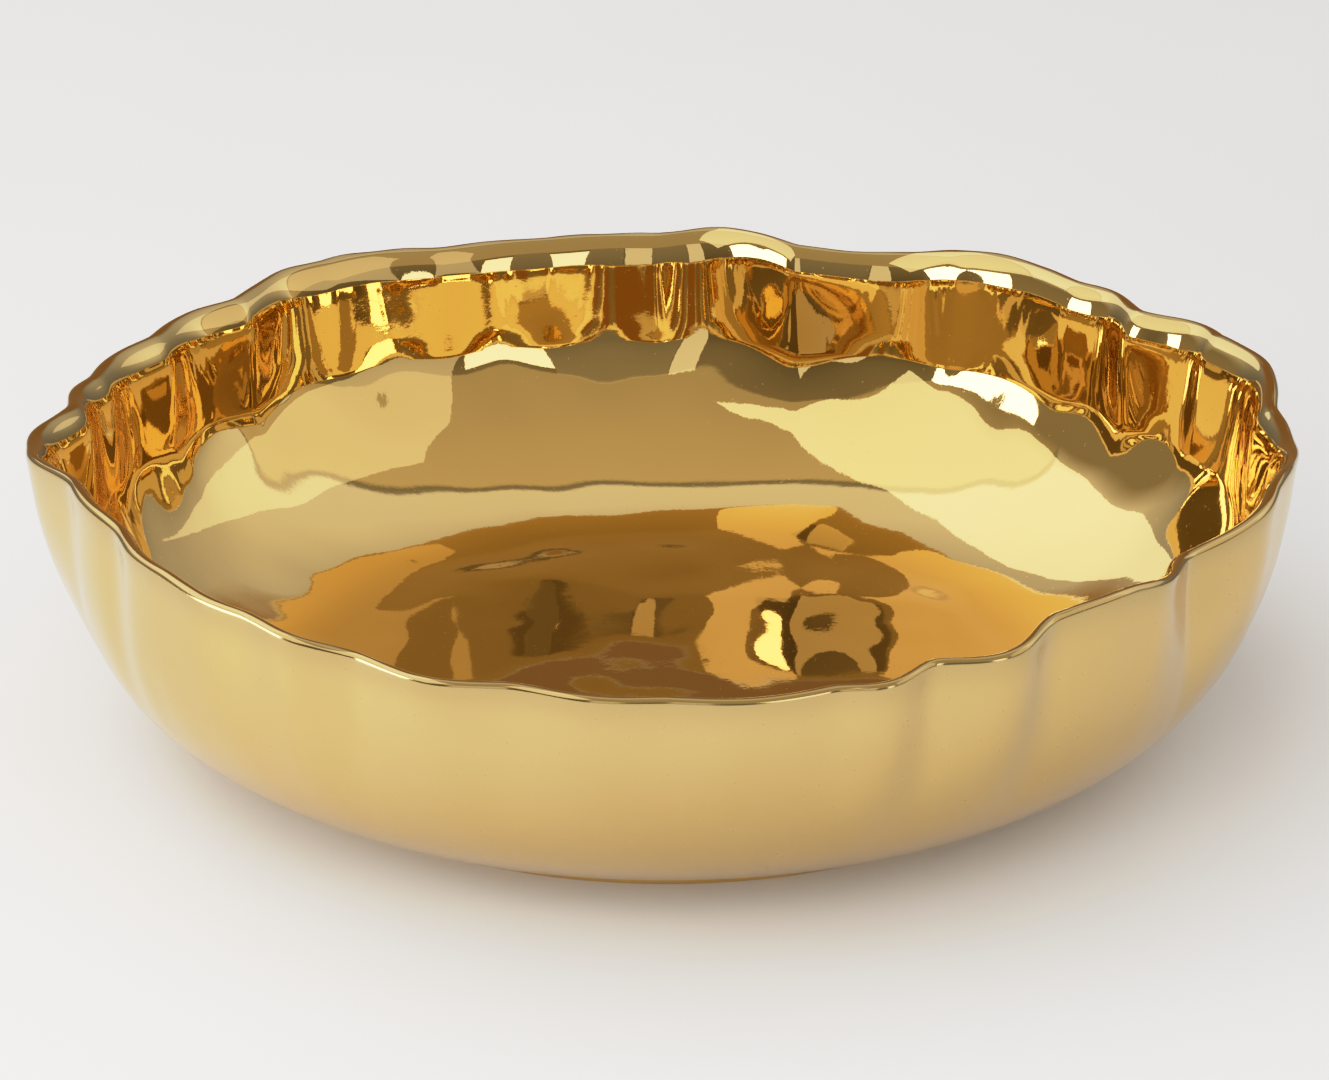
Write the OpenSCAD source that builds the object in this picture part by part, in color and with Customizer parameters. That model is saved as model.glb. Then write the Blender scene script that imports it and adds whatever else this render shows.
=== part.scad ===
// A polished brass urli bowl: one lobed shell, a turned foot ring under it, and the two
// beads of braze that hold the ring on. Millimetres, +Z up, and the origin is the centre
// of the circle that the foot ring stands on.

/* [Shell] */
// Mean radius of the rim, over its outer edge
rim_radius = 200; // [180:5:215]
// Mean height of the rim above the table
rim_height = 94; // [90:1:106]
// Thickness of the shell's floor
wall = 4.5; // [3.5:0.5:5.5]
// How much thicker the wall has grown where the lip begins
lip_thickening = 3.5; // [3:0.5:6]

/* [Rim] */
// How far the last stretch of the wall turns outwards
lip_flare = 1; // [0:0.5:3]
// Height of that stretch
lip_flare_height = 12; // [8:1:20]
// Depth of the slope from the crest of the lip down to the inner wall
lip_drop = 9; // [7:0.5:10]
// Radius of the rounding on the lip's outer edge
lip_edge = 1.5; // [0.8:0.1:2]

/* [Lobes] */
// Strength of the creases and of the lobes between them
lobe_strength = 1; // [0:0.1:1.3]
// Strength of the rim's rise and fall
wave_strength = 1; // [0:0.1:1.3]

/* [Foot ring] */
// Outer radius of the ring
foot_radius = 127; // [120:1:132]
// Width of the ring
foot_width = 7; // [5:0.5:10]
// Height of the ring
foot_height = 7; // [6:0.5:9]
// Chamfer on the ring's two lower edges
foot_chamfer = 0.8; // [0.4:0.1:1.5]
// Radius of the braze in the corners between ring and shell
braze_radius = 1.6; // [1:0.1:2.4]

/* [Hidden] */

polished = [0.86, 0.66, 0.28];
turned = [0.76, 0.57, 0.24];
brazed = [0.80, 0.66, 0.38];

// The flat floor of the shell reaches a little past the foot ring.
floor_margin = 3;
floor_radius = foot_radius + floor_margin;
edge_radius = rim_radius - lip_flare;
edge_height = rim_height - lip_edge;

// Each row is a crease that runs down the wall, counted anticlockwise from +X:
// its angle, how far the rim is drawn in there, how far the lobe after it bulges out,
// and its sharpness, from 0 for a soft hollow to 1 for a fold.
creases = [
    [7, 2, 5, 0.7], [24, -2, 3, 0.5], [34, 7, 3, 0.7], [44, 3, 2, 0.4],
    [59, -1, 4, 0.5], [76, 11, 6, 0.9], [91, -1, 1, 0.6], [102, -1, 1, 0.5],
    [114, -1, 1, 0.5], [126, -3, 3, 0.5], [139, 5, 3, 0.9], [152, 5, 2, 0.6],
    [164, 4, 2, 0.5], [173, 6, 2, 0.5], [184, -2, 1, 0.4], [197, 8, 1, 0.3],
    [208, 10, 1, 0.4], [219, 6, 1, 0.3], [230, 5, 3, 0.3], [242, 6, 5, 0.4],
    [257, 2, 3, 0.3], [270, -2, 2, 0.3], [284, 0, 6, 0.4], [293, 2, 8, 0.5],
    [306, 5, 1, 0.3], [316, 4, 2, 0.3], [328, 14, 3, 0.9], [344, 3, 2, 0.4]
];

// The rim's rise above its mean height, as angle and rise, with smooth waves between.
waves = [
    [0, 2], [20, 6], [40, 5], [55, 5], [68, -1], [80, 3], [92, 0], [108, 0],
    [125, 3], [142, 2], [160, 2], [180, 4], [200, 9], [215, 7], [230, 5], [245, 1],
    [262, 1], [280, 0], [295, 4], [312, 9], [328, 2], [345, 7]
];

// The outer wall is one cubic curve from the floor's edge to the rim.
belly_reach = 0.65;
belly_rise = 0.09;
wall_run = 1;
wall_stretch = 0.5;
outer_curve = [
    [floor_radius, foot_height],
    [
        floor_radius + belly_reach * (edge_radius - floor_radius),
        foot_height + belly_rise * (rim_height - foot_height)
    ],
    [edge_radius - wall_run, edge_height - wall_stretch * (edge_height - foot_height)],
    [edge_radius, edge_height]
];

// Steps of the mesh: around, up the outer wall, over the lip's edge, down its inside,
// down the upright wall, down the cove and across the floor.
around = 144;
outer_steps = 12;
edge_steps = 2;
lip_steps = 4;
upright_steps = 2;
cove_steps = 11;
floor_rings = [0.7, 0.35];

function lerp(a, b, t) = a + (b - a) * t;
function wave(t) = (1 - cos(180 * t)) / 2;
function clamp(t) = max(0, min(1, t));
function bezier(p, t) =
    pow(1 - t, 3) * p[0] + 3 * pow(1 - t, 2) * t * p[1]
    + 3 * (1 - t) * pow(t, 2) * p[2] + pow(t, 3) * p[3];

// The row of a table that an angle falls in, and how far it is on to the next row
function row_at(table, angle) =
    max([for (i = [0 : len(table) - 1]) if (table[i][0] <= angle) i]);
function wrapped(table, angle) = angle < table[0][0] ? angle + 360 : angle;
function row_of(table, angle) =
    angle < table[0][0] ? len(table) - 1 : row_at(table, angle);
function next_of(table, i) = (i + 1) % len(table);
function share(table, angle) =
    let (
        i = row_of(table, angle),
        start = table[i][0],
        stop = i == len(table) - 1 ? table[0][0] + 360 : table[i + 1][0]
    )
    (wrapped(table, angle) - start) / (stop - start);

// How far the lobes push the rim in or out, and how far the waves lift it
function lobe(angle) =
    let (
        i = row_of(creases, angle),
        a = creases[i],
        b = creases[next_of(creases, i)],
        t = share(creases, angle),
        sharp = lerp(a[3], b[3], t),
        arch = lerp((1 - cos(360 * t)) / 2, sin(180 * t), sharp)
    )
    lobe_strength * (a[2] * arch - lerp(a[1], b[1], wave(t)));
function lift(angle) =
    let (i = row_of(waves, angle), t = share(waves, angle))
    wave_strength * lerp(waves[i][1], waves[next_of(waves, i)][1], wave(t));

// Lobes and waves grow to their full size at the rim. The waves grow from nothing at the
// floor, and the lobes begin at this share of the wall's height.
lobe_start = 0.15;
function height_share(z) = clamp((z - floor_height) / (rim_height - floor_height));
function grown(t) = 3 * pow(clamp(t), 2) - 2 * pow(clamp(t), 3);
function flare(z) =
    lip_flare * pow(clamp((z - rim_height + lip_flare_height) / lip_flare_height), 2);

// A point of the profile, given as radius and height, taken round to an angle
function placed(p, angle) =
    let (
        s = height_share(p[1]),
        r = p[0] + flare(p[1]) + grown((s - lobe_start) / (1 - lobe_start)) * lobe(angle)
    )
    [r * cos(angle), r * sin(angle), p[1] + pow(s, 2) * lift(angle)];

// The inner wall has two parts. From the lip down it is a straight stretch that leans in a
// little, and from the foot of that stretch a cubic curve, the cove, sweeps down into the
// level floor with no edge between them. The foot's height is a share of the rim's, and the
// lean is a share of the wall's whole reach.
foot_share = 0.62;
lean_share = 0.045;
cove_run = 17.5;
cove_reach = 0.48;
cove_fullness = 11;
floor_height = foot_height + wall;
cove_radius = floor_radius - cove_run;
lip_start = [edge_radius - wall - lip_thickening, rim_height - lip_drop];
wall_foot = [
    lip_start[0] - lean_share * (edge_radius - floor_radius),
    foot_share * rim_height
];
uprightness = (lip_start - wall_foot) / norm(lip_start - wall_foot);
cove_curve = [
    [cove_radius, floor_height],
    [floor_radius + cove_reach * (edge_radius - floor_radius), floor_height],
    wall_foot - cove_fullness * uprightness,
    wall_foot
];

// The crest of the lip lies this many edge radii inside the rim. From there the lip slopes
// down and in to the wall. Each roundness is how full that end of a curve is.
crest_inset = 1.4;
edge_roundness = 0.6;
crest_roundness = 0.55;
lip_roundness = 0.5;
crest = [edge_radius - crest_inset * lip_edge, rim_height];
lip_curve = [
    crest,
    crest - [crest_roundness * (crest[0] - lip_start[0]), 0],
    lip_start + lip_roundness * (crest[1] - lip_start[1]) * uprightness,
    lip_start
];
edge_curve = [
    outer_curve[3],
    outer_curve[3] + [0, edge_roundness * lip_edge],
    crest + [edge_roundness * lip_edge, 0],
    crest
];

profile = concat(
    [for (i = [0 : outer_steps]) bezier(outer_curve, i / outer_steps)],
    [for (i = [1 : edge_steps]) bezier(edge_curve, i / edge_steps)],
    [for (i = [1 : lip_steps]) bezier(lip_curve, i / lip_steps)],
    [for (i = [1 : upright_steps]) lerp(lip_start, wall_foot, i / upright_steps)],
    [for (i = [1 : cove_steps]) bezier(cove_curve, 1 - i / cove_steps)],
    [for (reach = floor_rings) [reach * cove_radius, floor_height]]
);

module bowl_shell() {
    rings = len(profile);
    points = concat(
        [for (p = profile, k = [0 : around - 1]) placed(p, k * 360 / around)],
        [[0, 0, foot_height], [0, 0, floor_height]]
    );
    under = rings * around;
    inside = under + 1;
    last = (rings - 1) * around;
    walls = [
        for (i = [0 : rings - 2], k = [0 : around - 1])
            let (
                a = i * around + k,
                b = i * around + (k + 1) % around,
                c = b + around,
                d = a + around
            )
            each [[a, d, c], [a, c, b]]
    ];
    underside = [for (k = [0 : around - 1]) [under, k, (k + 1) % around]];
    floor_faces = [for (k = [0 : around - 1]) [inside, last + (k + 1) % around, last + k]];
    color(polished)
        polyhedron(points = points, faces = concat(walls, underside, floor_faces));
}

module foot_ring() {
    inner = foot_radius - foot_width;
    color(turned)
        rotate_extrude($fn = around)
            polygon([
                [inner, foot_chamfer],
                [inner + foot_chamfer, 0],
                [foot_radius - foot_chamfer, 0],
                [foot_radius, foot_chamfer],
                [foot_radius, foot_height],
                [inner, foot_height]
            ]);
}

// A bead of braze in the corner under the shell: side is 1 outside the ring, -1 inside.
module braze_bead(corner_radius, side) {
    centre = [corner_radius + side * braze_radius, foot_height - braze_radius];
    color(brazed)
        rotate_extrude($fn = around)
            polygon(concat(
                [[corner_radius, foot_height]],
                [
                    for (angle = [90 : 15 : 180])
                        centre + braze_radius * [side * cos(angle), sin(angle)]
                ]
            ));
}

module outer_braze_bead() braze_bead(foot_radius, 1);
module inner_braze_bead() braze_bead(foot_radius - foot_width, -1);

bowl_shell();
foot_ring();
outer_braze_bead();
inner_braze_bead();
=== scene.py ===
import math
import bpy
import numpy as np
from mathutils import Matrix, Vector


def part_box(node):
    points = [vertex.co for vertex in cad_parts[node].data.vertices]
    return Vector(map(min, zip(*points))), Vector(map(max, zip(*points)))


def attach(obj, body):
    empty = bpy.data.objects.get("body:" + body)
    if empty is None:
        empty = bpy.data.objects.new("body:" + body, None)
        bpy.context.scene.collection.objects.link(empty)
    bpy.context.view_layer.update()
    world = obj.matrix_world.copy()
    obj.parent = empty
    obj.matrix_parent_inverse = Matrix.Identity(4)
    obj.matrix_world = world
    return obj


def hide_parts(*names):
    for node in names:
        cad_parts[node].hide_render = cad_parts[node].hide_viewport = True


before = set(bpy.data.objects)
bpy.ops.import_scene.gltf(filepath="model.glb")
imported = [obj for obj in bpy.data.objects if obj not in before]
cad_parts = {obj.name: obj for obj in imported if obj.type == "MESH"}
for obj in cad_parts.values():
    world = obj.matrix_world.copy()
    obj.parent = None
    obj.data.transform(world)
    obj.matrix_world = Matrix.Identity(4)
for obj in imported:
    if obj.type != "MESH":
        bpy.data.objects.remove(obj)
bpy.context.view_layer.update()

# A mirror-polished brass urli bowl on a pale table. Metres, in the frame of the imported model:
# +Z up, the origin at the centre of the foot ring's circle, the camera on the -Y side.

foot_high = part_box("foot_ring")[1]
MM = 0.001

# ---- Driving sizes, as part.scad has them
RIM_RADIUS = 200 * MM
RIM_HEIGHT = 94 * MM
WALL = 4.5 * MM
LIP_THICKENING = 3.5 * MM
LIP_FLARE = 1 * MM
LIP_FLARE_HEIGHT = 12 * MM
LIP_DROP = 9 * MM
LIP_EDGE = 1.5 * MM
FOOT_RADIUS = foot_high.x
FOOT_HEIGHT = foot_high.z
FOOT_WIDTH = 7 * MM
BRAZE_RADIUS = 1.6 * MM

# Each row is a crease that runs down the wall, counted anticlockwise from +X:
# its angle, how far the rim is drawn in there, how far the lobe after it bulges out (mm),
# and its sharpness, from 0 for a soft hollow to 1 for a fold.
CREASES = np.array([
    [7, 2, 5, 0.7], [24, -2, 3, 0.5], [34, 7, 3, 0.7], [44, 3, 2, 0.4],
    [59, -1, 4, 0.5], [76, 11, 6, 0.9], [91, -1, 1, 0.6], [102, -1, 1, 0.5],
    [114, -1, 1, 0.5], [126, -3, 3, 0.5], [139, 5, 3, 0.9], [152, 5, 2, 0.6],
    [164, 4, 2, 0.5], [173, 6, 2, 0.5], [184, -2, 1, 0.4], [197, 8, 1, 0.3],
    [208, 10, 1, 0.4], [219, 6, 1, 0.3], [230, 5, 3, 0.3], [242, 6, 5, 0.4],
    [257, 2, 3, 0.3], [270, -2, 2, 0.3], [284, 0, 6, 0.4], [293, 2, 8, 0.5],
    [306, 5, 1, 0.3], [316, 4, 2, 0.3], [328, 14, 3, 0.9], [344, 3, 2, 0.4],
], float)

# The rim's rise above its mean height, as angle and rise (mm)
WAVES = np.array([
    [0, 2], [20, 6], [40, 5], [55, 5], [68, -1], [80, 3], [92, 0], [108, 0],
    [125, 3], [142, 2], [160, 2], [180, 4], [200, 9], [215, 7], [230, 5], [245, 1],
    [262, 1], [280, 0], [295, 4], [312, 9], [328, 2], [345, 7],
], float)

# ---- The shell's profile, as part.scad shapes it
FLOOR_MARGIN = 3 * MM
FLOOR_RADIUS = FOOT_RADIUS + FLOOR_MARGIN
FLOOR_HEIGHT = FOOT_HEIGHT + WALL
EDGE_RADIUS = RIM_RADIUS - LIP_FLARE
EDGE_HEIGHT = RIM_HEIGHT - LIP_EDGE
WALL_REACH = EDGE_RADIUS - FLOOR_RADIUS
BELLY_REACH = 0.65
BELLY_RISE = 0.09
WALL_RUN = 1 * MM
WALL_STRETCH = 0.5
COVE_RUN = 17.5 * MM
COVE_RADIUS = FLOOR_RADIUS - COVE_RUN
COVE_REACH = 0.48
COVE_FULLNESS = 11 * MM
FOOT_SHARE = 0.62
LEAN_SHARE = 0.045
CREST_INSET = 1.4
EDGE_ROUNDNESS = 0.6
CREST_ROUNDNESS = 0.55
LIP_ROUNDNESS = 0.5

# The lobes begin at this share of the wall's height.
LOBE_START = 0.15

# Steps of the mesh. The disc's grid has as many steps to a side as a quarter of the bowl.
AROUND = 480
AROUND_RING = 360
DISC_STEPS = AROUND // 4
OUTER_STEPS = 44
EDGE_STEPS = 5
LIP_STEPS = 14
UPRIGHT_STEPS = 16
COVE_STEPS = 50
CREST_RING = OUTER_STEPS + EDGE_STEPS

# ---- Fine detail, which the CAD leaves out
# The hammering of the floor and cove is two swells: seed, shortest and longest wave, and mean
# slope. Between two heights on the wall it loses most of its depth.
HAMMERING = [
    (11, 38 * MM, 75 * MM, math.radians(0.9)),
    (12, 20 * MM, 34 * MM, math.radians(0.5)),
]
HAMMERING_FADES = (50 * MM, 88 * MM)
HAMMERING_LOST = 0.7
# Each lobe is dished a little into the inner wall, between two heights.
DISH_DEPTH = 1.1 * MM
DISH_HEIGHTS = (32 * MM, 66 * MM)
# The flutes outside grow to their full depth between two heights.
FLUTE_SEED = 7
FLUTE_DEPTH = 0.12 * MM
FLUTE_HARMONICS = range(18, 60, 3)
FLUTES_GROW = (20 * MM, 60 * MM)
# The foot ring's rounded edges and turned grooves, and the ripples of the braze
FOOT_ROUNDING = 0.9 * MM
GROOVE_HEIGHTS = (2.4 * MM, 4.6 * MM)
GROOVE_HALF_WIDTH = 0.35 * MM
GROOVE_DEPTH = 0.18 * MM
RIPPLE_DEPTH = 0.05 * MM
RIPPLE_HARMONICS = range(20, 120, 7)
BEAD_STEPS = 8
ANY_PHASE = 6.28

# Where the shell's metal is painted darker as shade: within this far of the lip's crest the lip carries
# painted shade, and between these two radii the floor's painted shade fades out.
LIP_SHADE_WIDTH = 6 * MM
FLOOR_SHADE_FADES = (112 * MM, 142 * MM)


def mix(a, b, t):
    return a + (b - a) * t


def wave(t):
    """A soft step from 0 to 1."""
    return (1 - np.cos(np.pi * t)) / 2


def smooth(x, low, high):
    t = np.clip((x - low) / (high - low), 0, 1)
    return t * t * (3 - 2 * t)


def window(x, low, high):
    """A smooth hump that is 0 outside low..high and 1 halfway between."""
    t = np.clip((x - low) / (high - low), 0, 1)
    return np.sin(np.pi * t)**2


def bezier(points, t):
    p = [np.array(q, float) for q in points]
    t = np.asarray(t)[:, None]
    return (1 - t)**3 * p[0] + 3 * (1 - t)**2 * t * p[1] + 3 * (1 - t) * t**2 * p[2] + t**3 * p[3]


# ---- The shell's profile
def outer_curves():
    """The outer wall and the rounding of the lip's outer edge."""
    edge = np.array([EDGE_RADIUS, EDGE_HEIGHT])
    crest = np.array([EDGE_RADIUS - CREST_INSET * LIP_EDGE, RIM_HEIGHT])
    belly = (
        FLOOR_RADIUS + BELLY_REACH * WALL_REACH,
        FOOT_HEIGHT + BELLY_RISE * (RIM_HEIGHT - FOOT_HEIGHT),
    )
    under_edge = (EDGE_RADIUS - WALL_RUN, EDGE_HEIGHT - WALL_STRETCH * (EDGE_HEIGHT - FOOT_HEIGHT))
    rounding = EDGE_ROUNDNESS * LIP_EDGE
    wall = [(FLOOR_RADIUS, FOOT_HEIGHT), belly, under_edge, edge]
    edge_round = [edge, edge + np.array([0, rounding]), crest + np.array([rounding, 0]), crest]
    return wall, edge_round


def inner_curves(crest):
    """The lip's inside, the two ends of the upright wall, and the cove."""
    lip_start = np.array([EDGE_RADIUS - WALL - LIP_THICKENING, RIM_HEIGHT - LIP_DROP])
    wall_foot = np.array([lip_start[0] - LEAN_SHARE * WALL_REACH, FOOT_SHARE * RIM_HEIGHT])
    upright = (lip_start - wall_foot) / np.linalg.norm(lip_start - wall_foot)
    lip = [
        crest,
        crest - np.array([CREST_ROUNDNESS * (crest[0] - lip_start[0]), 0]),
        lip_start + LIP_ROUNDNESS * (crest[1] - lip_start[1]) * upright,
        lip_start,
    ]
    cove = [
        (COVE_RADIUS, FLOOR_HEIGHT),
        (FLOOR_RADIUS + COVE_REACH * WALL_REACH, FLOOR_HEIGHT),
        wall_foot - COVE_FULLNESS * upright,
        wall_foot,
    ]
    return lip, lip_start, wall_foot, cove


def shell_profile():
    """The whole profile as (radius, height) points, from the edge of the underside up the
    outer wall, over the lip and down to the edge of the floor."""
    wall, edge_round = outer_curves()
    lip, lip_start, wall_foot, cove = inner_curves(edge_round[-1])
    counts = (OUTER_STEPS, EDGE_STEPS, LIP_STEPS, UPRIGHT_STEPS, COVE_STEPS)
    steps = [np.linspace(0, 1, count + 1) for count in counts]
    return np.concatenate([
        bezier(wall, steps[0]),
        bezier(edge_round, steps[1])[1:],
        bezier(lip, steps[2])[1:],
        (lip_start + steps[3][:, None] * (wall_foot - lip_start))[1:],
        bezier(cove, steps[4])[::-1][1:],
    ])


def profile_normals(points):
    """Unit normals of a profile, on the left of its direction."""
    d = np.gradient(points, axis=0)
    d /= np.linalg.norm(d, axis=1)[:, None]
    return np.stack([-d[:, 1], d[:, 0]], -1)


# ---- Lobes and waves round the shell
def table_share(table, degrees):
    """The row of a table that each angle falls in, the next row, and the share between."""
    degrees = np.asarray(degrees) % 360
    count = len(table)
    i = np.searchsorted(table[:, 0], degrees, side="right") - 1
    i = np.where(i < 0, count - 1, i)
    j = (i + 1) % count
    stop = np.where(i == count - 1, table[0, 0] + 360, table[j, 0])
    turned = np.where(degrees < table[0, 0], degrees + 360, degrees)
    return table[i], table[j], (turned - table[i, 0]) / (stop - table[i, 0])


def lobes(degrees):
    """How far the lobes push the rim in or out, and a soft swell across each lobe."""
    a, b, t = table_share(CREASES, degrees)
    sharp = mix(a[:, 3], b[:, 3], t)
    swell = wave(2 * t)
    arch = mix(swell, np.sin(np.pi * t), sharp)
    drawn = mix(a[:, 1], b[:, 1], wave(t))
    return MM * (a[:, 2] * arch - drawn), swell


def lift(degrees):
    """How far the waves lift the rim."""
    a, b, t = table_share(WAVES, degrees)
    return MM * mix(a[:, 1], b[:, 1], wave(t))


def placed(points, normals, out, degrees):
    """Takes profile points round the bowl: lobes, flare, rim waves, and `out` along the normal."""
    radians = np.radians(degrees)[None, :]
    r = points[:, 0][:, None] + np.zeros_like(radians)
    z = points[:, 1][:, None] + np.zeros_like(radians)
    share = np.clip((z - FLOOR_HEIGHT) / (RIM_HEIGHT - FLOOR_HEIGHT), 0, 1)
    turned = np.clip((z - RIM_HEIGHT + LIP_FLARE_HEIGHT) / LIP_FLARE_HEIGHT, 0, 1)
    grown = smooth(share, LOBE_START, 1)
    push = lobes(degrees)[0]
    r = r + LIP_FLARE * turned**2 + grown * push[None, :] + out * normals[:, 0][:, None]
    z = z + share**2 * lift(degrees)[None, :] + out * normals[:, 1][:, None]
    return np.stack([r * np.cos(radians), r * np.sin(radians), z], -1)


# ---- The shell's surface detail
def undulation(x, y, seed, short, long, slope, count=40):
    """A seeded swell made of plane waves in all directions, whose slope averages `slope`."""
    rng = np.random.default_rng(seed)
    wavelength = rng.uniform(short, long, count)
    turn = rng.uniform(0, 2 * np.pi, count)
    phase = rng.uniform(0, 2 * np.pi, count)
    height = np.zeros_like(x)
    for w, a, p in zip(wavelength, turn, phase):
        k = 2 * np.pi / w
        height += np.cos(k * (x * np.cos(a) + y * np.sin(a)) + p) / k
    return slope * math.sqrt(2 / count) * height


def hammering(x, y):
    """How far the hammering moves the floor and cove, in metres."""
    return sum(undulation(x, y, *swell) for swell in HAMMERING)


def flutes(degrees, z):
    """Soft flutes that run down the outer wall from the rim, in metres."""
    rng = np.random.default_rng(FLUTE_SEED)
    total = np.zeros_like(degrees)
    for harmonic in FLUTE_HARMONICS:
        size = rng.normal()
        phase = rng.uniform(0, ANY_PHASE)
        total = total + size * np.cos(np.radians(harmonic * degrees) + phase)
    total = total / math.sqrt(len(FLUTE_HARMONICS))
    return FLUTE_DEPTH * total[None, :] * smooth(z, *FLUTES_GROW)[:, None]


def arc_from_floor(profile):
    """Each profile point's way along the surface to the centre of the floor."""
    steps = np.linalg.norm(np.diff(profile, axis=0), axis=1)
    return np.cumsum(np.concatenate([[COVE_RADIUS], steps[::-1]]))[::-1]


def surface_offsets(profile, degrees):
    """How far the detail moves each point along the profile's normal: flutes outside,
    hammering and a dish in each lobe inside. Arc length lays the inner wall flat for the
    hammering."""
    outside = slice(0, CREST_RING + 1)
    inside = slice(CREST_RING + 1, None)
    z = profile[:, 1]
    radians = np.radians(degrees)
    arc = arc_from_floor(profile)[inside, None]
    fade = 1 - smooth(z[inside], *HAMMERING_FADES)[:, None] * HAMMERING_LOST
    dish = window(z[inside], *DISH_HEIGHTS)[:, None]
    swell = lobes(degrees)[1]
    out = np.zeros((len(profile), len(degrees)))
    out[outside] = -flutes(degrees, z[outside])
    out[inside] = hammering(arc * np.cos(radians), arc * np.sin(radians)) * fade
    out[inside] -= DISH_DEPTH * dish * swell[None, :]
    return out


# ---- Meshes
def mesh_object(name, points, faces, attributes):
    mesh = bpy.data.meshes.new(name)
    mesh.from_pydata([tuple(p) for p in points], [], faces)
    mesh.update()
    for key, values in attributes.items():
        layer = mesh.attributes.new(key, "FLOAT", "POINT")
        layer.data.foreach_set("value", np.asarray(values, np.float32))
    mesh.polygons.foreach_set("use_smooth", [True] * len(mesh.polygons))
    obj = bpy.data.objects.new(name, mesh)
    bpy.context.scene.collection.objects.link(obj)
    return obj


def ring_quads(pairs, around):
    """The quads between rings of points, given as pairs of a ring and the next ring."""
    quads = []
    for i, j in pairs:
        for k in range(around):
            k2 = (k + 1) % around
            quads.append((i * around + k, i * around + k2, j * around + k2, j * around + k))
    return quads


def disc_grid(count):
    """A square grid bent into a disc: unit points, quads, and the ring of its boundary,
    which runs anticlockwise from -45 degrees in even steps."""
    n = count + 1
    u = np.linspace(-1, 1, n)
    a, b = np.meshgrid(u, u, indexing="ij")
    wide = np.abs(a) >= np.abs(b)
    with np.errstate(divide="ignore", invalid="ignore"):
        turn_a = np.where(a == 0, 0, np.pi / 4 * np.where(wide, b / np.where(a == 0, 1, a), 0))
        turn_b = np.pi / 2 - np.pi / 4 * np.where(b == 0, 0, a / np.where(b == 0, 1, b))
    r = np.where(wide, a, b)
    turn = np.where(wide, turn_a, turn_b)
    points = np.stack([r * np.cos(turn), r * np.sin(turn)], -1).reshape(-1, 2)

    def at(i, j):
        return i * n + j

    quads = [(at(i, j), at(i + 1, j), at(i + 1, j + 1), at(i, j + 1))
             for i in range(count) for j in range(count)]
    ring = [at(count, j) for j in range(count)]
    ring += [at(count - i, count) for i in range(count)]
    ring += [at(0, count - j) for j in range(count)]
    ring += [at(i, 0) for i in range(count)]
    return points, quads, ring


def capped(points, faces, cap, quads, joined, flip):
    """Adds a disc to a mesh. `joined` gives the mesh's own point for each boundary point of
    the disc, and `flip` turns its faces over."""
    inner = [v for v in range(len(cap)) if v not in joined]
    index = dict(joined)
    index.update({v: len(points) + order for order, v in enumerate(inner)})
    added = [tuple(index[v] for v in quad) for quad in quads]
    if flip:
        added = [face[::-1] for face in added]
    return np.concatenate([points, cap[inner]]), faces + added


# ---- The pieces
def shell_attributes(profile, points):
    """Where a point is on the inside, in the lip's painted shade and in the floor's painted shade, from
    0 to 1. The points are those of the wall, then of the floor, then of the underside."""
    on_wall = len(profile) * AROUND
    on_floor = (DISC_STEPS - 1)**2
    ring_inside = np.concatenate([
        np.zeros(OUTER_STEPS),
        np.linspace(0, 1, EDGE_STEPS + 1),
        np.ones(len(profile) - CREST_RING - 1),
    ])
    inside = np.zeros(len(points))
    inside[:on_wall] = np.repeat(ring_inside, AROUND)
    inside[on_wall:on_wall + on_floor] = 1
    # How strongly the lip's painted shade darkens each point, falling off from the crest.
    from_crest = np.linalg.norm(profile - profile[CREST_RING], axis=1)
    painted_lip_shade = np.zeros(len(points))
    painted_lip_shade[:on_wall] = np.repeat(np.exp(-(from_crest / LIP_SHADE_WIDTH)**2), AROUND)
    # How strongly the floor's painted shade darkens each point, fading out between two radii.
    floor = 1 - smooth(np.hypot(points[:, 0], points[:, 1]), *FLOOR_SHADE_FADES)
    floor[:OUTER_STEPS * AROUND] = 0
    return {"inside": inside, "painted_lip_shade": painted_lip_shade, "floor": floor}


def build_shell():
    """The lobed shell, closed by a disc for its floor and one for its underside."""
    degrees = -45 + 360 * np.arange(AROUND) / AROUND
    profile = shell_profile()
    last = len(profile) - 1
    out = surface_offsets(profile, degrees)
    points = placed(profile, profile_normals(profile), out, degrees).reshape(-1, 3)
    faces = ring_quads([(i, i + 1) for i in range(last)], AROUND)

    disc, quads, ring = disc_grid(DISC_STEPS)
    floor = np.column_stack([disc * COVE_RADIUS, np.full(len(disc), FLOOR_HEIGHT)])
    floor[:, 2] -= hammering(floor[:, 0], floor[:, 1])
    underside = np.column_stack([disc * FLOOR_RADIUS, np.full(len(disc), FOOT_HEIGHT)])
    floor_ring = {v: last * AROUND + k for k, v in enumerate(ring)}
    underside_ring = {v: k for k, v in enumerate(ring)}
    points, faces = capped(points, faces, floor, quads, floor_ring, False)
    points, faces = capped(points, faces, underside, quads, underside_ring, True)
    return mesh_object("lobed_shell", points, faces, shell_attributes(profile, points))


def lathe(name, profile, detail=None):
    """A ring turned from a closed profile of (radius, height) points. `detail` moves the
    points of one profile point in or out, by their angle."""
    degrees = 360 * np.arange(AROUND_RING) / AROUND_RING
    radians = np.radians(degrees)
    points = []
    for i, (r, z) in enumerate(profile):
        reach = r + (detail(i, degrees) if detail else np.zeros(AROUND_RING))
        height = np.full(AROUND_RING, z)
        points += list(zip(reach * np.cos(radians), reach * np.sin(radians), height))
    count = len(profile)
    faces = ring_quads([(i, (i + 1) % count) for i in range(count)], AROUND_RING)
    return mesh_object(name, points, faces, {})


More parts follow.
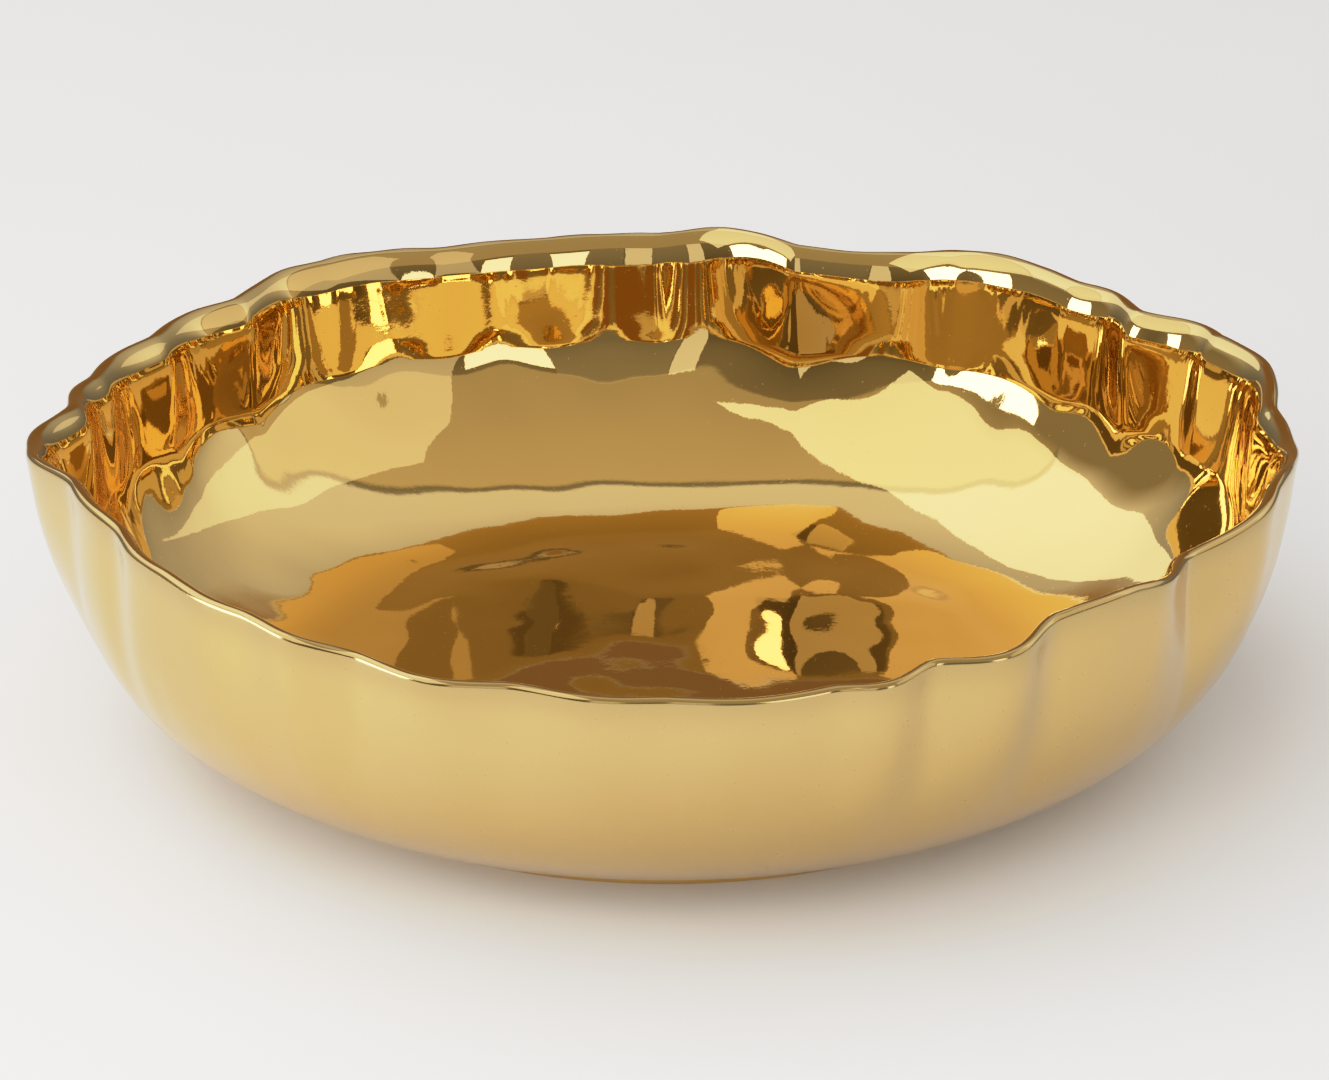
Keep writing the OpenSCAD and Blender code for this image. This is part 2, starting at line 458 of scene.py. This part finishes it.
def rounded(corner, before, after, radius, steps=4):
    """Points of a rounded corner between two neighbours of a profile."""
    corner, before, after = (np.array(v, float) for v in (corner, before, after))
    a = corner + radius * (before - corner) / np.linalg.norm(before - corner)
    b = corner + radius * (after - corner) / np.linalg.norm(after - corner)
    return [tuple((1 - t)**2 * a + 2 * (1 - t) * t * corner + t**2 * b)
            for t in np.linspace(0, 1, steps)]


def build_foot():
    """The foot ring, with rounded lower edges and two fine turned grooves on its outer face."""
    inner, outer, top = FOOT_RADIUS - FOOT_WIDTH, FOOT_RADIUS, FOOT_HEIGHT
    lower_in, lower_out = (inner, 0), (outer, 0)
    profile = [(inner, top)]
    profile += rounded(lower_in, (inner, top), lower_out, FOOT_ROUNDING)
    profile += rounded(lower_out, lower_in, (outer, top), FOOT_ROUNDING)
    for height in GROOVE_HEIGHTS:
        profile += [
            (outer, height - GROOVE_HALF_WIDTH),
            (outer - GROOVE_DEPTH, height),
            (outer, height + GROOVE_HALF_WIDTH),
        ]
    profile += [(outer, top)]
    return lathe("turned_foot", profile)


def build_bead(name, corner_radius, side, seed):
    """A run of braze, slightly uneven along its length: side is 1 outside the ring, -1 inside."""
    centre = np.array([corner_radius + side * BRAZE_RADIUS, FOOT_HEIGHT - BRAZE_RADIUS])
    profile = [(corner_radius, FOOT_HEIGHT)]
    for angle in np.radians(np.linspace(90, 180, BEAD_STEPS + 1)):
        offset = BRAZE_RADIUS * np.array([side * math.cos(angle), math.sin(angle)])
        profile.append(tuple(centre + offset))
    if side < 0:
        profile = profile[::-1]
    rng = np.random.default_rng(seed)
    terms = [(h, rng.normal(), rng.uniform(0, ANY_PHASE)) for h in RIPPLE_HARMONICS]

    def ripple(i, degrees):
        touches_ring = profile[i][0] == corner_radius
        touches_shell = profile[i][1] >= FOOT_HEIGHT - 1e-9
        if touches_ring or touches_shell:
            return np.zeros_like(degrees)
        swell = sum(w * np.cos(np.radians(h * degrees) + p) for h, w, p in terms)
        return RIPPLE_DEPTH * side * swell / math.sqrt(len(terms))

    return lathe(name, profile, ripple)


# ---- Node trees
class Nodes:
    """A short way to write the node tree of a material or world."""

    def __init__(self, tree, coordinates):
        self.tree = tree
        self.place = self.add("ShaderNodeTexCoord").outputs[coordinates]

    def add(self, kind, **settings):
        node = self.tree.nodes.new(kind)
        for key, value in settings.items():
            setattr(node, key, value)
        return node

    def link(self, source, target):
        self.tree.links.new(source, target)

    def put(self, value, socket):
        """Sets a socket to a number or a colour, or links it."""
        if isinstance(value, tuple):
            socket.default_value = (*value, 1)
        elif isinstance(value, (int, float)):
            socket.default_value = value
        else:
            self.link(value, socket)

    def noise(self, scale, detail=3, roughness=0.5, place=None):
        node = self.add("ShaderNodeTexNoise")
        node.inputs["Scale"].default_value = scale
        node.inputs["Detail"].default_value = detail
        node.inputs["Roughness"].default_value = roughness
        self.link(place or self.place, node.inputs["Vector"])
        return node.outputs["Fac"]

    def ramp(self, source, stops):
        node = self.add("ShaderNodeValToRGB")
        elements = node.color_ramp.elements
        while len(elements) < len(stops):
            elements.new(0.5)
        for element, (at, colour) in zip(elements, stops):
            element.position = at
            element.color = (*colour, 1)
        self.link(source, node.inputs["Fac"])
        return node.outputs["Color"]

    def level(self, source, low, high, to_low=0.0, to_high=1.0):
        node = self.add("ShaderNodeMapRange")
        node.inputs["From Min"].default_value = low
        node.inputs["From Max"].default_value = high
        node.inputs["To Min"].default_value = to_low
        node.inputs["To Max"].default_value = to_high
        self.link(source, node.inputs["Value"])
        return node.outputs["Result"]

    def math(self, kind, *values):
        node = self.add("ShaderNodeMath", operation=kind)
        for value, socket in zip(values, node.inputs):
            self.put(value, socket)
        return node.outputs["Value"]

    def blend(self, factor, a, b):
        """A mix of two colours: a Mix node's inputs 6 and 7, and its output 2."""
        node = self.add("ShaderNodeMix", data_type="RGBA")
        self.link(factor, node.inputs["Factor"])
        self.put(a, node.inputs[6])
        self.put(b, node.inputs[7])
        return node.outputs[2]

    def between(self, factor, a, b):
        """A mix of two numbers: a Mix node's inputs 2 and 3, and its output 0."""
        node = self.add("ShaderNodeMix", data_type="FLOAT")
        self.link(factor, node.inputs["Factor"])
        self.put(a, node.inputs[2])
        self.put(b, node.inputs[3])
        return node.outputs[0]

    def attribute(self, name):
        return self.add("ShaderNodeAttribute", attribute_name=name).outputs["Fac"]

    def axes(self):
        """The place's X, Y and Z."""
        node = self.add("ShaderNodeSeparateXYZ")
        self.link(self.place, node.inputs["Vector"])
        return [node.outputs[axis] for axis in "XYZ"]

    def bump(self, height, strength, distance, normal=None):
        node = self.add("ShaderNodeBump")
        node.inputs["Strength"].default_value = strength
        node.inputs["Distance"].default_value = distance
        self.link(height, node.inputs["Height"])
        if normal:
            self.link(normal, node.inputs["Normal"])
        return node.outputs["Normal"]


def new_material(name):
    """A material, a short way to write its nodes, and the inputs of its shader."""
    material = bpy.data.materials.new(name)
    material.use_nodes = True
    tree = material.node_tree
    return material, Nodes(tree, "Object"), tree.nodes["Principled BSDF"].inputs


def new_metal(name):
    material, n, shader = new_material(name)
    shader["Metallic"].default_value = 1
    return material, n, shader


# ---- Materials
GOLD = (0.78, 0.545, 0.215)
GOLD_DEEP = (0.77, 0.53, 0.20)
# Painted shade: the floor is darkened towards this colour, though it is the same metal.
GOLD_FLOOR_SHADE = (0.51, 0.345, 0.135)
# Painted shade: the outside's gold is darker than the inside's, though the metal is the same.
GOLD_OUTSIDE_SHADED = (0.63, 0.44, 0.18)
GOLD_OUTSIDE_SHADED_DEEP = (0.61, 0.42, 0.165)
# Painted shade: the lip near its crest is darkened towards this colour.
GOLD_LIP_SHADE = (0.46, 0.335, 0.145)
LIP_SHADE_STRENGTH = 0.8
TURNED_DARK = (0.80, 0.54, 0.20)
TURNED_LIGHT = (0.88, 0.62, 0.26)
TURNED_LINES_PER_METRE = 4000
BRAZE_DARK = (0.74, 0.58, 0.30)
BRAZE_LIGHT = (0.86, 0.68, 0.36)
TABLE_DARK = (0.80, 0.79, 0.775)
TABLE_LIGHT = (0.83, 0.82, 0.805)


def polished_material():
    """Mirror polish inside and a hazier polish outside, with faint clouds and specks, and painted shade
    that darkens the outside, the lip near its crest and the floor.
    """
    material, n, shader = new_metal("polished_brass")
    inside = n.attribute("inside")
    cloud = n.level(n.noise(scale=9, detail=4, roughness=0.55), 0.35, 0.65)
    # Painted shade: the outside is given the darker gold.
    shaded_outer_gold = n.blend(cloud, GOLD_OUTSIDE_SHADED, GOLD_OUTSIDE_SHADED_DEEP)
    inner_gold = n.blend(cloud, GOLD, GOLD_DEEP)
    colour = n.blend(inside, shaded_outer_gold, inner_gold)
    # Painted shade darkens the lip near its crest.
    colour = n.blend(n.math("MULTIPLY", n.attribute("painted_lip_shade"), LIP_SHADE_STRENGTH), colour, GOLD_LIP_SHADE)
    # Painted shade darkens the floor.
    colour = n.blend(n.attribute("floor"), colour, GOLD_FLOOR_SHADE)
    n.link(colour, shader["Base Color"])

    haze = n.level(n.noise(22, detail=5, roughness=0.6), 0.3, 0.7, to_low=0.14, to_high=0.22)
    mirror = n.level(n.noise(30, detail=4, roughness=0.6), 0.35, 0.75, to_low=0.015, to_high=0.05)
    specks = n.level(n.noise(900, detail=2), 0.70, 0.76, to_high=0.25)
    n.link(n.math("ADD", n.between(inside, haze, mirror), specks), shader["Roughness"])

    peel = n.bump(n.noise(160), strength=0.05, distance=0.4 * MM)
    grain = n.bump(n.noise(1400, detail=2), strength=0.02, distance=0.1 * MM, normal=peel)
    n.link(grain, shader["Normal"])
    return material


def turned_material():
    """Brass turned on a lathe: fine rings round the axis, and a little lighter than the shell."""
    material, n, shader = new_metal("turned_brass")
    stretched = n.add("ShaderNodeCombineXYZ")
    n.link(n.math("MULTIPLY", n.axes()[2], TURNED_LINES_PER_METRE), stretched.inputs["Z"])
    lines = n.noise(1, detail=4, roughness=0.6, place=stretched.outputs["Vector"])
    n.link(n.blend(n.level(n.noise(40), 0.3, 0.7), TURNED_DARK, TURNED_LIGHT), shader["Base Color"])
    n.link(n.level(lines, 0.2, 0.8, to_low=0.18, to_high=0.32), shader["Roughness"])
    n.link(n.bump(lines, strength=0.15, distance=0.1 * MM), shader["Normal"])
    return material


def braze_material():
    """The paler, satin metal of the braze, with ripples where it froze."""
    material, n, shader = new_metal("braze")
    n.link(n.blend(n.level(n.noise(120), 0.3, 0.7), BRAZE_DARK, BRAZE_LIGHT), shader["Base Color"])
    n.link(n.level(n.noise(300), 0.3, 0.7, to_low=0.28, to_high=0.45), shader["Roughness"])
    n.link(n.bump(n.noise(420), strength=0.4, distance=0.2 * MM), shader["Normal"])
    return material


def table_material():
    """A matt, pale surface with faint clouds."""
    material, n, shader = new_material("table_top")
    cloud = n.level(n.noise(3, detail=4), 0.3, 0.7)
    n.link(n.blend(cloud, TABLE_DARK, TABLE_LIGHT), shader["Base Color"])
    shader["Roughness"].default_value = 0.55
    shader["Specular IOR Level"].default_value = 0.25
    return material


# ---- The room
# Its light as (angle, level): the angle is in degrees round the X axis, from the horizon behind
# the camera over the top to the horizon behind the bowl. The backdrop's paper starts at the seam.
SEAM = 108
ROOM_TINT = (1, 0.85, 0.6)
PAPER_TINT = (1, 0.98, 0.95)
ROOM_LEVELS = [
    (0, 0.12), (8, 0.15), (42, 0.24), (43, 0.50), (60, 0.54), (88, 0.61), (106, 0.65),
    (107.5, 0.25), (109, 0.30),
    (110, 0.92), (122, 0.88), (135, 0.70), (150, 0.50), (165, 0.30), (180, 0.18),
]
# The light that falls on the table, by the same angle
TABLE_LEVELS = [(0, 1.05), (45, 0.95), (70, 0.58), (180, 0.55)]
# Low down, straight behind the bowl, the room is brown and dim: it turns brown between two
# angles, and the brown ends to either side between two values of the direction's X.
BROWN = (0.34, 0.19, 0.08)
BROWN_ANGLES = (142, 148)
BROWN_SIDES = (0.30, 0.45)
# The room's left end turns dim between two values of the direction's -X.
DIM_LEVEL = 0.30
DIM_SIDES = (0.80, 0.90)
# The wall that shows beyond the table's edge in low views
PALE_WALL = (0.80, 0.795, 0.785)
BLACK = (0, 0, 0)
WHITE = (1, 1, 1)


def tinted(level, tint):
    return tuple(level * c for c in tint)


def by_angle(colours):
    """Stops for a ramp over half a turn, from pairs of degrees and colour."""
    return [(degrees / 180, colour) for degrees, colour in colours]


def build_world():
    """The room: dark behind the camera, a warm ceiling that grows lighter towards the back, a
    thin dark seam, and the bright paper of the backdrop, with a brown area low down in the
    middle and a dim left end. The table is lit by a neutral version of it, and the camera
    sees a plain pale wall."""
    world = bpy.data.worlds.new("studio")
    bpy.context.scene.world = world
    world.use_nodes = True
    n = Nodes(world.node_tree, "Generated")
    x, y, z = n.axes()
    angle = n.math("ARCTAN2", n.math("MAXIMUM", z, 0.0), n.math("MULTIPLY", y, -1.0))
    turn = n.math("DIVIDE", angle, math.pi)
    room = n.ramp(turn, by_angle(
        (degrees, tinted(level, ROOM_TINT if degrees < SEAM else PAPER_TINT))
        for degrees, level in ROOM_LEVELS))
    low = n.ramp(turn, by_angle(zip(BROWN_ANGLES, (BLACK, WHITE))))
    middle = n.ramp(n.math("ABSOLUTE", x), list(zip(BROWN_SIDES, (WHITE, BLACK))))
    left_end = n.ramp(n.math("MULTIPLY", x, -1.0), list(zip(DIM_SIDES, (BLACK, WHITE))))
    neutral = n.ramp(turn, by_angle((degrees, tinted(level, WHITE)) for degrees, level in TABLE_LEVELS))

    seen = n.blend(n.math("MULTIPLY", low, middle), room, BROWN)
    seen = n.blend(left_end, seen, tinted(DIM_LEVEL, ROOM_TINT))
    path = n.add("ShaderNodeLightPath")
    seen = n.blend(path.outputs["Is Diffuse Ray"], seen, neutral)
    seen = n.blend(path.outputs["Is Camera Ray"], seen, PALE_WALL)
    n.link(seen, world.node_tree.nodes["Background"].inputs["Color"])


TABLE_REACH = 4.0
TABLE_STEPS = 40


def build_table():
    u = np.linspace(-TABLE_REACH, TABLE_REACH, TABLE_STEPS + 1)
    n = TABLE_STEPS + 1
    points = [(x, y, 0) for x in u for y in u]
    faces = [(i * n + j, (i + 1) * n + j, (i + 1) * n + j + 1, i * n + j + 1)
             for i in range(TABLE_STEPS) for j in range(TABLE_STEPS)]
    table = mesh_object("table_top", points, faces, {})
    table.data.materials.append(table_material())


def card(name, corners, radiance, shown=True):
    """A flat rectangular light given by three corners: first, along its width, along its height.
    It shines to the side from which those three turn clockwise."""
    first, across, up = (Vector(c) for c in corners)
    width, height = (across - first).length, (up - first).length
    light = bpy.data.lights.new(name, "AREA")
    light.shape = "RECTANGLE"
    light.size, light.size_y = width, height
    light.energy = radiance * width * height * math.pi
    obj = bpy.data.objects.new(name, light)
    bpy.context.scene.collection.objects.link(obj)
    x = (across - first).normalized()
    y = (up - first).normalized()
    turn = Matrix((x, y, x.cross(y))).transposed().to_4x4()
    turn.translation = (across + up) / 2
    obj.matrix_world = turn
    obj.visible_glossy = shown


def build_lights():
    """The panels and cards that show in the metal, and two soft lights that don't."""
    card("right_panel", [(0.66, -0.667, 0.128), (0.364, 0.558, 0.304), (1.63, -0.80, 2.69)], 0.45)
    card("left_panel", [(-0.96, 1.7, 0.69), (-0.96, -0.9, 0.69), (-0.42, 1.7, 1.55)], 0.95)
    card("key", [(-1, -0.05, 0.05), (-1, -0.45, 0.05), (-1, -0.05, 0.60)], 6.0)
    card("front_card_white", [(0.575, -1.2, 0.1), (1.1, -1.2, 0.1), (0.575, -1.2, 1.12)], 2.0)
    card("front_card_grey", [(0.05, -1.2, 0.1), (0.57, -1.2, 0.1), (0.05, -1.2, 1.35)], 0.08)
    card("front_card_pale", [(-0.46, -1.2, 0.1), (0.03, -1.2, 0.1), (-0.46, -1.2, 1.35)], 0.75)
    card("top_soft", [(-1.4, 1.2, 1.6), (-1.4, -0.8, 1.6), (0.4, 1.2, 2.2)], 0.95, shown=False)
    card("front_soft", [(-2.0, -1.5, 0.1), (0.2, -1.7, 0.1), (-2.0, -1.2, 1.6)], 1.7, shown=False)


# ---- The camera and the picture
CAMERA_TARGET = Vector((-0.0005, 0, 0.0603))
CAMERA_DISTANCE = 1.8
CAMERA_PITCH = math.radians(22.453)
VIEW_ANGLE = math.radians(13.431)
# The film's response, from scene light to picture: straight up to the middle tones, with the
# highlights rolled off
BRIGHTEST = 2.5
ALL_COLOURS = 3
FILM = [(0.25, 0.25), (0.50, 0.50), (0.69, 0.665), (0.95, 0.785), (1.25, 0.875), (1.8, 0.955)]


def build_camera():
    data = bpy.data.cameras.new("camera")
    data.sensor_fit = "HORIZONTAL"
    data.angle_x = VIEW_ANGLE
    camera = bpy.data.objects.new("camera", data)
    bpy.context.scene.collection.objects.link(camera)
    back = Vector((0, -math.cos(CAMERA_PITCH), math.sin(CAMERA_PITCH)))
    camera.location = CAMERA_TARGET + CAMERA_DISTANCE * back
    look = CAMERA_TARGET - camera.location
    camera.rotation_euler = look.to_track_quat("-Z", "Y").to_euler()
    bpy.context.scene.camera = camera


def set_picture(scene):
    """The film's response, and enough bounces for a mirror inside a mirror."""
    view = scene.view_settings
    view.view_transform = "Standard"
    view.use_curve_mapping = True
    mapping = view.curve_mapping
    mapping.white_level = (BRIGHTEST, BRIGHTEST, BRIGHTEST)
    for light, tone in FILM:
        mapping.curves[ALL_COLOURS].points.new(light / BRIGHTEST, tone)
    mapping.update()
    scene.cycles.max_bounces = 16
    scene.cycles.glossy_bounces = 12


def finish_piece(obj, material, node):
    obj.data.materials.append(material)
    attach(obj, "root")
    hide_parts(node)


build_camera()
braze = braze_material()
finish_piece(build_shell(), polished_material(), "bowl_shell")
finish_piece(build_foot(), turned_material(), "foot_ring")
outer_bead = build_bead("outer_bead", FOOT_RADIUS, 1, seed=21)
inner_bead = build_bead("inner_bead", FOOT_RADIUS - FOOT_WIDTH, -1, seed=22)
finish_piece(outer_bead, braze, "outer_braze_bead")
finish_piece(inner_bead, braze, "inner_braze_bead")
build_table()
build_world()
build_lights()
set_picture(bpy.context.scene)
